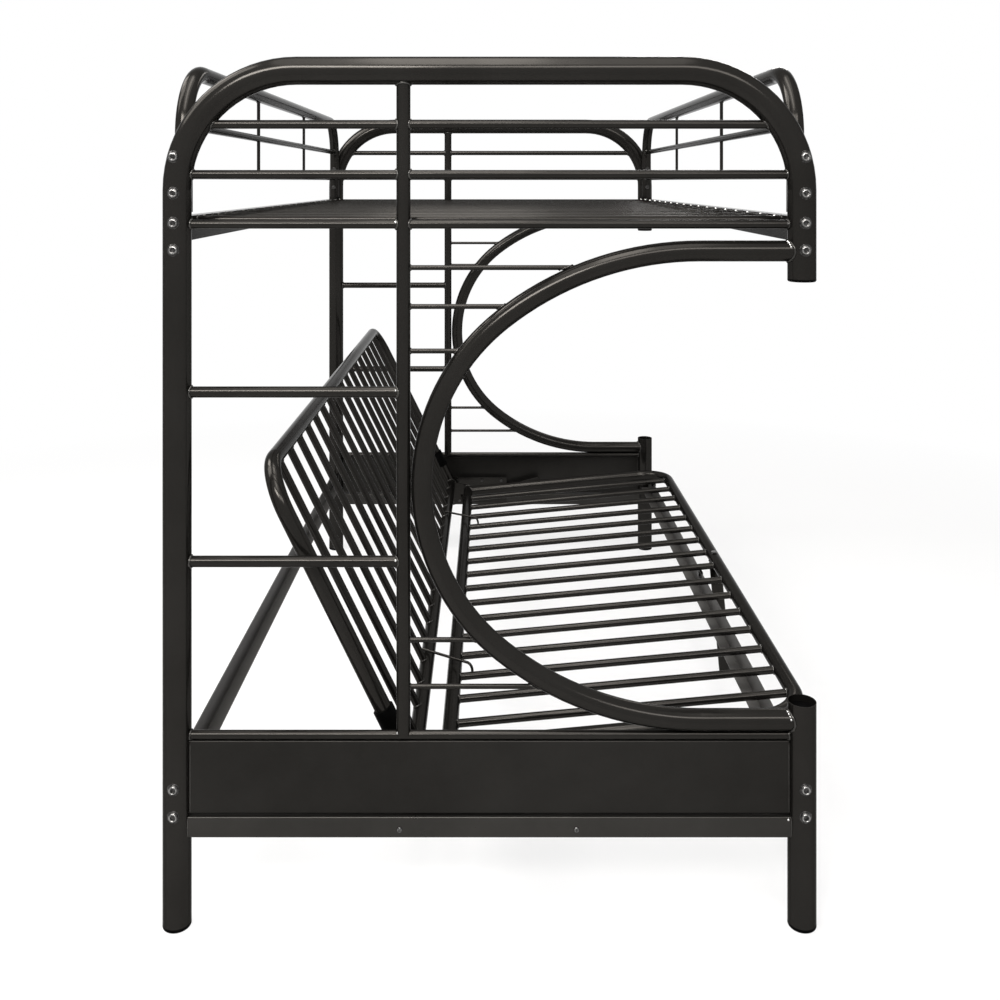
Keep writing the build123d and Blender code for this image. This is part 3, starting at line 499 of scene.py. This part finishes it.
def place_glint_drops(mesh, end):
    """Drops of weld in bright steel on one end frame: painted glints on the sides of the joints that
    face the light.
    """
    # x, distance out from the middle of the frame, height, lean along X, radius
    places = [(LADDER_X - LADDER_R - 1, 7.5, z + 4, -0.7, 3) for z in CROSSBARS[:1] + RUNGS]
    places += [(arch_center(1, z)[0] - 25, 7, z + 2, -0.6, 3.2) for z in CROSSBARS]
    for z in (C_TOP, C_BOTTOM):
        for step in range(4):
            turn = math.radians(25 + 14 * step)
            places.append((
                POST_X - POST_R + 1.5 - 1.2 * step, C_R * math.cos(turn), z + C_R * math.sin(turn),
                -0.5, 2.4))
    places += [
        (POST_X - POST_R - 2, 12, PANEL_RAIL_HIGH - 4.5, 0, 2.6),
        (LADDER_X - LADDER_R + 3, 6, PANEL_BAR_Z + 6, 0, 3)]
    for x, out, z, lean, radius in places:
        spot(mesh, mm(x, end * (END_Y + out), z), Vector((lean, end, 0.6)), radius)


# the second mesh holds weld drops in bright steel, painted glints
frame_welds, glint_drops = Mesh(), Mesh()
for end in ENDS:
    weld_end_frame(frame_welds, end)
weld_deck(frame_welds, glint_drops)
for side in SIDES:
    weld_guard(frame_welds, side)
for end in ENDS:
    place_glint_drops(glint_drops, end)
glint_drops.object("weld_painted_glints", "frame", "dark_hardware", painted_glint_weld, WELD_SMOOTH)
frame_welds.object("welds_frame", "frame", "black_powder_coat", weld_coat, WELD_SMOOTH)

# Seat and back of the futon, in the places that their tilts give them
FUTON_TUBE_R, FUTON_BAR_R = 16, 8
# a tube that ends on another of its own radius counts as thinner, so that its bead stays on both
SEAT_END_R, FUTON_END_R = 0.97 * FUTON_TUBE_R, 15.6
HINGE = mm(-141.8, 0, 253.2)
SEAT_TILT, BACK_RECLINE = math.radians(5.3), math.radians(26.45)
SEAT_DEPTH, SEAT_HALF, SEAT_BEND, SEAT_END_OUT = 693, 849, 95, 15.5
SEAT_REAR_AHEAD, SEAT_REAR_BELOW = 0.0625, 0.012
SEAT_BARS, SEAT_PITCH = 16, 101.2
BACK_HEIGHT, BACK_HALF, BACK_BEND = 615, 930, 90
BACK_BARS, BACK_PITCH = 17, 103
seat_along = Vector((math.cos(SEAT_TILT), 0, math.sin(SEAT_TILT)))
seat_up = Vector((-math.sin(SEAT_TILT), 0, math.cos(SEAT_TILT)))
seat_rear = HINGE + seat_along * SEAT_REAR_AHEAD - seat_up * SEAT_REAR_BELOW
back_up = Vector((-math.sin(BACK_RECLINE), 0, math.cos(BACK_RECLINE)))


def seat_point(x, y, z=0.0):
    """A point in millimetres along the seat from its rear tube, across it and above it."""
    return seat_rear + seat_along * (x / 1000) + ALONG_Y * (y / 1000) + seat_up * (z / 1000)


def back_point(y, z):
    """A point in millimetres across the back and up it from the hinge."""
    return HINGE + back_up * (z / 1000) + ALONG_Y * (y / 1000)


seat_welds, seat_glint_drops = Mesh(), Mesh()
for index in range(SEAT_BARS):
    y = (index - (SEAT_BARS - 1) / 2) * SEAT_PITCH
    front = SEAT_DEPTH - bend_inset(y, SEAT_HALF, SEAT_BEND)
    for x, direction in ((0, seat_along), (front, -seat_along)):
        place = seat_point(x, y)
        weld_bar(seat_welds, "seat_bar", place, direction, FUTON_BAR_R, ALONG_Y, FUTON_TUBE_R)
    # a drop of weld in bright steel at each bar's front end: a painted glint
    spot(seat_glint_drops, seat_point(front - 15, y, 7), seat_up - seat_along * 0.5, 2.6)
for side in SIDES:
    corner = seat_point(0, side * SEAT_HALF)
    weld_bar(seat_welds, "seat_end", corner, seat_along, SEAT_END_R, ALONG_Y, FUTON_TUBE_R)
    tip = seat_point(0, side * (SEAT_HALF + SEAT_END_OUT))
    weld_ring(seat_welds, "seat_corner", tip, ALONG_Y, FUTON_TUBE_R)
weld_bar(seat_welds, "leg", seat_point(SEAT_DEPTH, 0), -seat_up, FUTON_END_R, ALONG_Y, FUTON_TUBE_R)
seat_glint_drops.object("seat_painted_glints", "seat", "dark_hardware", painted_glint_weld, WELD_SMOOTH)
seat_welds.object("welds_seat", "seat", "black_powder_coat", weld_coat, WELD_SMOOTH)

back_welds = Mesh()
for index in range(BACK_BARS):
    y = (index - (BACK_BARS - 1) / 2) * BACK_PITCH
    top = BACK_HEIGHT - bend_inset(y, BACK_HALF, BACK_BEND)
    for z, direction in ((0, back_up), (top, -back_up)):
        place = back_point(y, z)
        weld_bar(back_welds, "back_bar", place, direction, FUTON_BAR_R, ALONG_Y, FUTON_TUBE_R)
for side in SIDES:
    weld_bar(
        back_welds, "back_end", back_point(side * BACK_HALF, 0), -side * ALONG_Y, FUTON_END_R, back_up,
        FUTON_TUBE_R)
back_welds.object("welds_back", "back", "black_powder_coat", weld_coat, WELD_SMOOTH)


# Bolts: button heads with hexagon sockets on saddle washers, and threaded ends at the nuts.
# Profiles are (radius, height) in millimetres: the bright ring of a head, whose lighter steel is a
# painted highlight, its dark edge and the socket.
RING_PROFILE = [(7.5, 2.4), (7.3, 2.9), (6.7, 3.5), (6.0, 3.9), (5.4, 4.0), (4.9, 3.7), (4.6, 3.2)]
EDGE_PROFILE = [(9.3, -2.4), (9.3, 0.7), (9.1, 1.3), (8.5, 1.9), (8.0, 2.2), (7.45, 2.45)]
SOCKET_PROFILE = [(4.65, 3.25), (3.4, 3.0), (3.2, 2.8), (3.1, 1.2), (0.2, 1.0)]
SOCKET_R = 3.5
WASHER_INNER, WASHER_OUTER, WASHER_THICK, WASHER_EDGE, WASHER_SINK = 6.5, 11.2, 0.8, 0.4, 0.3
SHANK_R, THREAD_ROOT_R, THREAD_TIP_R, THREAD_PITCH = 4.0, 3.55, 3.1, 1.0
THREAD_LENGTH, PAST_NUT = 12, 6
HEAD_LEAN = 0.045
# heights of the bolts, and how far in from the middle their nuts sit: guards, deck rails, lower rails
BOLT_ROWS = (
    ((1317.1, 1382.1), END_Y - POST_R - 2 * GUARD_R), ((1215.9, 1264), PLATE_Y),
    ((207.8, 256.4), PLATE_Y))


def saddle_washer(mesh, x, z, end):
    """A washer bent round the post."""
    steps = 28
    rings = []
    for radius, lift in (
            (WASHER_INNER, WASHER_THICK), (WASHER_OUTER - WASHER_EDGE, WASHER_THICK),
            (WASHER_OUTER, WASHER_THICK - WASHER_EDGE), (WASHER_OUTER, -WASHER_SINK)):
        ring = []
        for i in range(steps):
            t = 2 * math.pi * i / steps
            dx, dz = radius * math.cos(t), radius * math.sin(t)
            depth = math.sqrt(POST_R ** 2 - dx ** 2)
            ring.append(mm(x + dx, end * (END_Y + depth + lift), z + dz))
        rings.append(ring)
    mesh.grid(rings)


def shank_profile(reach):
    """From the post's outer wall to just past the nut, with turned threads near the end."""
    depth = reach - THREAD_LENGTH
    profile = [(SHANK_R, 0.0), (SHANK_R, -depth)]
    while depth < reach - THREAD_PITCH:
        profile += [(SHANK_R, -depth), (THREAD_ROOT_R, -depth - THREAD_PITCH / 2)]
        depth += THREAD_PITCH
    return profile + [(THREAD_ROOT_R + 0.05, -reach + 0.3), (THREAD_TIP_R, -reach)]


edges, rings, shanks = Mesh(), Mesh(), Mesh()
for heights, inner in BOLT_ROWS:
    for z in heights:
        for side in SIDES:
            for end in ENDS:
                x = side * POST_X
                # each head leans a little its own way
                lean = 2.4 * z + 1.7 * side + end
                outward = Vector((HEAD_LEAN * math.sin(lean), end, HEAD_LEAN * math.cos(lean)))
                surface = mm(x, end * (END_Y + POST_R), z)
                saddle_washer(edges, x, z, end)
                lathe(edges, surface, outward, EDGE_PROFILE, closed=False)
                lathe(edges, surface, outward, SOCKET_PROFILE, hex_below=SOCKET_R)
                # the ring takes the lighter steel of a painted highlight
                lathe(rings, surface, outward, RING_PROFILE, closed=False)
                shank = shank_profile(END_Y + POST_R - inner + PAST_NUT)
                lathe(shanks, surface, end * ALONG_Y, shank, 14)
edges.object("post_bolt_edges", "frame", "dark_hardware", steel, 35)
rings.object("post_bolt_highlight_rings", "frame", "dark_hardware", ring_highlight_steel, 35)
shank_piece = shanks.object("post_bolt_shanks", "frame", "dark_hardware", steel, 30)
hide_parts("post_bolts")


# Panel sheets with turned edges, and bottom rails with rounded corners
def post_face(y):
    """X of the post's surface at a place across the end frame."""
    return POST_X - math.sqrt(POST_R ** 2 - (y - END_Y) ** 2)


def arc_points(y, z, radius, start, stop, steps=5):
    """An arc of (y, z) points between two angles in degrees."""
    turns = [math.radians(start + (stop - start) * i / steps) for i in range(steps + 1)]
    return [(y + radius * math.cos(t), z + radius * math.sin(t)) for t in turns]


def along_end(mesh, section, end, steps=8):
    """A closed section of (y, z) points, carried from post to post and shaped to their surfaces."""
    rings = []
    for share in range(steps + 1):
        place = 2 * share / steps - 1
        rings.append([mm(post_face(y) * place, end * y, z) for y, z in section])
    mesh.grid(rings)
    mesh.cap(rings[0])
    mesh.cap(rings[-1])


bend_y = SHEET_Y - SHEET_BEND
bend_low, bend_high = SHEET_LOW + SHEET_BEND, SHEET_HIGH - SHEET_BEND
inner_bend = SHEET_BEND - SHEET_THICK
sheet_section = (
    [(SHEET_Y - SHEET_LOW_TURN, SHEET_LOW)]
    + arc_points(bend_y, bend_low, SHEET_BEND, -90, 0)
    + arc_points(bend_y, bend_high, SHEET_BEND, 0, 90)
    + [(SHEET_Y - SHEET_HIGH_TURN, SHEET_HIGH), (SHEET_Y - SHEET_HIGH_TURN, SHEET_HIGH - SHEET_THICK)]
    + arc_points(bend_y, bend_high, inner_bend, 90, 0)
    + arc_points(bend_y, bend_low, inner_bend, 0, -90)
    + [(SHEET_Y - SHEET_LOW_TURN, SHEET_LOW + SHEET_THICK)])
corner_y = PANEL_RAIL_HALF - PANEL_RAIL_CORNER
corner_low, corner_high = PANEL_RAIL_LOW + PANEL_RAIL_CORNER, PANEL_RAIL_HIGH - PANEL_RAIL_CORNER
rail_section = (
    arc_points(END_Y + corner_y, corner_low, PANEL_RAIL_CORNER, -90, 0)
    + arc_points(END_Y + corner_y, corner_high, PANEL_RAIL_CORNER, 0, 90)
    + arc_points(END_Y - corner_y, corner_high, PANEL_RAIL_CORNER, 90, 180)
    + arc_points(END_Y - corner_y, corner_low, PANEL_RAIL_CORNER, 180, 270))
for end, name in zip(ENDS, ("near", "far")):
    sheet, rail = Mesh(), Mesh()
    along_end(sheet, sheet_section, end)
    along_end(rail, rail_section, end)
    sheet_piece = sheet.object(name + "_panel_turned_sheet", "frame", "black_powder_coat", panel_coat)
    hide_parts(name + "_panel_sheet")
    # the rail takes the lighter coat of painted floor bounce
    rail_piece = rail.object(name + "_panel_rounded_rail", "frame", "black_powder_coat", painted_bounce_rail_coat)
    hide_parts(name + "_panel_bottom_rail")

# Pan-head screws with recesses in the panel's rail
SCREW_SHARES, SCREW_HEIGHT_SHARE = (-0.3, 0.29), 0.4
SCREW_PROFILE = [
    (5.0, -0.6), (5.0, 0.7), (4.7, 1.5), (3.9, 2.1), (2.6, 2.45), (1.7, 2.5), (1.2, 1.2), (0.2, 0.9)]
SCREW_SHANK = [(3.0, 0.0), (3.0, -1.2)]
screw_z = PANEL_RAIL_LOW + SCREW_HEIGHT_SHARE * (PANEL_RAIL_HIGH - PANEL_RAIL_LOW)
screws = Mesh()
for end in ENDS:
    for share in SCREW_SHARES:
        base = mm(share * (POST_X - POST_R), end * (END_Y + PANEL_RAIL_HALF), screw_z)
        lathe(screws, base, end * ALONG_Y, SCREW_PROFILE, 20)
        lathe(screws, base, end * ALONG_Y, SCREW_SHANK, 12)
screw_heads = screws.object("panel_screw_heads", "frame", "dark_hardware", screw_steel)
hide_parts("panel_screws")

# Floor, world and lamps, in metres
WORLD_LIGHT = 0.1
FLOOR_HALF, FLOOR_DROP, FLOOR_TONE = 60, 0.0002, (0.88, 0.88, 0.88, 1)
# how much of the floor is plain white near the bed and away from it, and where that rises
WHITE_NEAR, WHITE_AWAY, WHITE_FROM, WHITE_TO = 0.72, 1.0, 1.6, 3.4
LAMP_COLOR = (1.0, 0.975, 0.955)


def combine(nt, operation, first, second):
    """A sum, product or the like of two outputs, or of an output and a number."""
    node = nt.nodes.new("ShaderNodeMath")
    node.operation = operation
    nt.links.new(first, node.inputs[0])
    if isinstance(second, float):
        node.inputs[1].default_value = second
    else:
        nt.links.new(second, node.inputs[1])
    return node.outputs[0]


def light_path_white(nt, shader, mask=1.0):
    """Mixes a shader with plain white for what the camera, gloss and glass see."""
    path = nt.nodes.new("ShaderNodeLightPath")
    seen = combine(nt, "MAXIMUM", path.outputs["Is Camera Ray"], path.outputs["Is Glossy Ray"])
    seen = combine(nt, "MAXIMUM", seen, path.outputs["Is Transmission Ray"])
    white = nt.nodes.new("ShaderNodeEmission")
    white.inputs["Color"].default_value = (1, 1, 1, 1)
    mix = nt.nodes.new("ShaderNodeMixShader")
    nt.links.new(combine(nt, "MULTIPLY", seen, mask), mix.inputs["Fac"])
    nt.links.new(shader, mix.inputs[1])
    nt.links.new(white.outputs[0], mix.inputs[2])
    return mix.outputs[0]


def floor_material():
    """White floor that keeps the bed's shadow near it."""
    mat = bpy.data.materials.new("floor_white")
    mat.use_nodes = True
    nt = mat.node_tree
    nt.nodes.clear()
    out = nt.nodes.new("ShaderNodeOutputMaterial")
    diffuse = nt.nodes.new("ShaderNodeBsdfDiffuse")
    diffuse.inputs["Color"].default_value = FLOOR_TONE
    length = nt.nodes.new("ShaderNodeVectorMath")
    length.operation = "LENGTH"
    nt.links.new(coordinates(nt), length.inputs[0])
    mask = map_range(nt, length.outputs["Value"], WHITE_NEAR, WHITE_AWAY, WHITE_FROM, WHITE_TO)
    nt.links.new(light_path_white(nt, diffuse.outputs[0], mask), out.inputs["Surface"])
    return mat


floor_mesh = bpy.data.meshes.new("floor")
corners = [(x * FLOOR_HALF, y * FLOOR_HALF, 0) for x, y in ((-1, -1), (1, -1), (1, 1), (-1, 1))]
floor_mesh.from_pydata(corners, [], [(0, 1, 2, 3)])
floor = bpy.data.objects.new("floor", floor_mesh)
floor.location.z = -FLOOR_DROP
floor_mesh.materials.append(floor_material())
scene.collection.objects.link(floor)

world = bpy.data.worlds.new("studio")
scene.world = world
world.use_nodes = True
wn = world.node_tree
wn.nodes.clear()
w_out = wn.nodes.new("ShaderNodeOutputWorld")
w_light = wn.nodes.new("ShaderNodeBackground")
w_light.inputs["Color"].default_value = (1, 1, 1, 1)
w_light.inputs["Strength"].default_value = WORLD_LIGHT
wn.links.new(light_path_white(wn, w_light.outputs[0]), w_out.inputs["Surface"])


def area_lamp(name, location, target, size_x, size_y, power):
    data = bpy.data.lights.new(name, "AREA")
    data.shape = "RECTANGLE"
    data.size, data.size_y = size_x, size_y
    data.energy = power
    data.color = LAMP_COLOR
    lamp = bpy.data.objects.new(name, data)
    lamp.location = location
    lamp.visible_camera = False
    lamp.rotation_euler = (Vector(target) - Vector(location)).to_track_quat("-Z", "Y").to_euler()
    scene.collection.objects.link(lamp)


area_lamp("key_window", (-1.25, -4.1, 3.25), (-0.2, -0.8, 1.2), 1.9, 0.8, 150)
area_lamp("key_right", (1.0, -4.1, 3.25), (0.2, -0.8, 1.2), 2.4, 0.8, 60)
area_lamp("overhead", (-0.2, -1.7, 4.3), (-0.2, -1.6, 1.0), 2.5, 4.2, 105)
area_lamp("overhead_strip", (-0.2, -1.7, 4.25), (-0.2, -1.6, 1.0), 0.8, 4.0, 75)
area_lamp("left_soft", (-2.7, -0.7, 3.6), (-0.5, -0.8, 1.4), 1.4, 2.2, 84)
area_lamp("back_left", (-2.6, 0.6, 3.6), (-0.5, -1.0, 1.5), 1.0, 1.4, 90)
area_lamp("rear", (1.6, 3.6, 3.2), (0, 0.5, 0.8), 1.6, 0.5, 35)

scene.view_settings.view_transform = "Standard"

bpy.context.view_layer.update()
